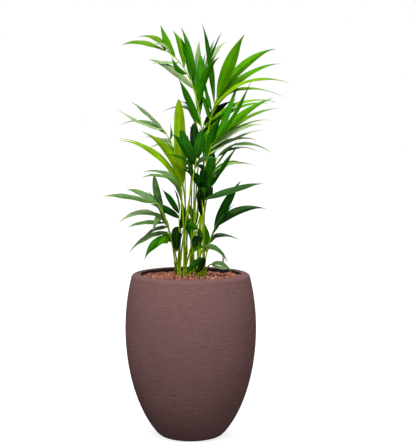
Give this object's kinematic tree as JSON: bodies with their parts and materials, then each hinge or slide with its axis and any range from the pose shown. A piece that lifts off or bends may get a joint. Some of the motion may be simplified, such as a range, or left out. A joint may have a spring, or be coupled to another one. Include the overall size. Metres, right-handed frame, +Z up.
{
  "type": "kentia palm in planter",
  "caption": "Indoor kentia palm: slim upright stems and arching feather fronds, standing in clay granules in a tall egg-shaped matte planter with a water gauge.",
  "frame": {"origin": "centre of the planter's flat underside", "axes": "+Z up along the planter's axis; -Y is the front, the side that the picture shows; +X to its right"},
  "size_m": [0.6474, 0.6538, 1.4427],
  "materials": {
    "planter_clay": "matte plum-brown clay fibre with fine trowelled ripples",
    "clay_granules": "rough fired clay granules",
    "black_plastic": "satin moulded",
    "clear_plastic": "clear polished tube",
    "float_plastic": "red foot and yellow float",
    "stem_green": "smooth yellow-green stem with brown sheath fibres",
    "leaf_green": "glossy ribbed leaf",
    "leaf_young": "young yellow-green ribbed leaf"
  },
  "bodies": {
    "root": {"pot": "planter_clay", "granules": "clay_granules", "gauge_block": "black_plastic", "gauge_tube": "clear_plastic", "gauge_float": "float_plastic", "stem_1": "stem_green", "stem_2": "stem_green", "stem_3": "stem_green", "stem_4": "stem_green", "stem_5": "stem_green", "stem_6": "stem_green", "stem_7": "stem_green", "stem_8": "stem_green", "stem_9": "stem_green", "stem_10": "stem_green", "frond_left_low": "leaf_green", "frond_left_lowest": "leaf_green", "frond_young_left": "leaf_young", "frond_left_core": "leaf_green", "frond_centre_near": "leaf_green", "frond_left_back": "leaf_green", "frond_far_left": "leaf_green", "frond_centre_up": "leaf_green", "frond_mid_left": "leaf_green", "frond_near_centre": "leaf_green", "frond_right_fan": "leaf_green", "frond_right_low_b": "leaf_green", "frond_back_top": "leaf_green", "frond_up_back": "leaf_green", "frond_right_dark": "leaf_green", "frond_top_left": "leaf_green", "frond_top_right": "leaf_green", "frond_far_right": "leaf_green", "frond_far_low": "leaf_green", "frond_right_low_a": "leaf_green", "frond_right_bottom": "leaf_green", "frond_bottom_centre": "leaf_green", "frond_right_long": "leaf_green", "frond_right_lower": "leaf_green", "frond_right_bottom_b": "leaf_green", "frond_near_right": "leaf_green"}
  },
  "joints": []
}
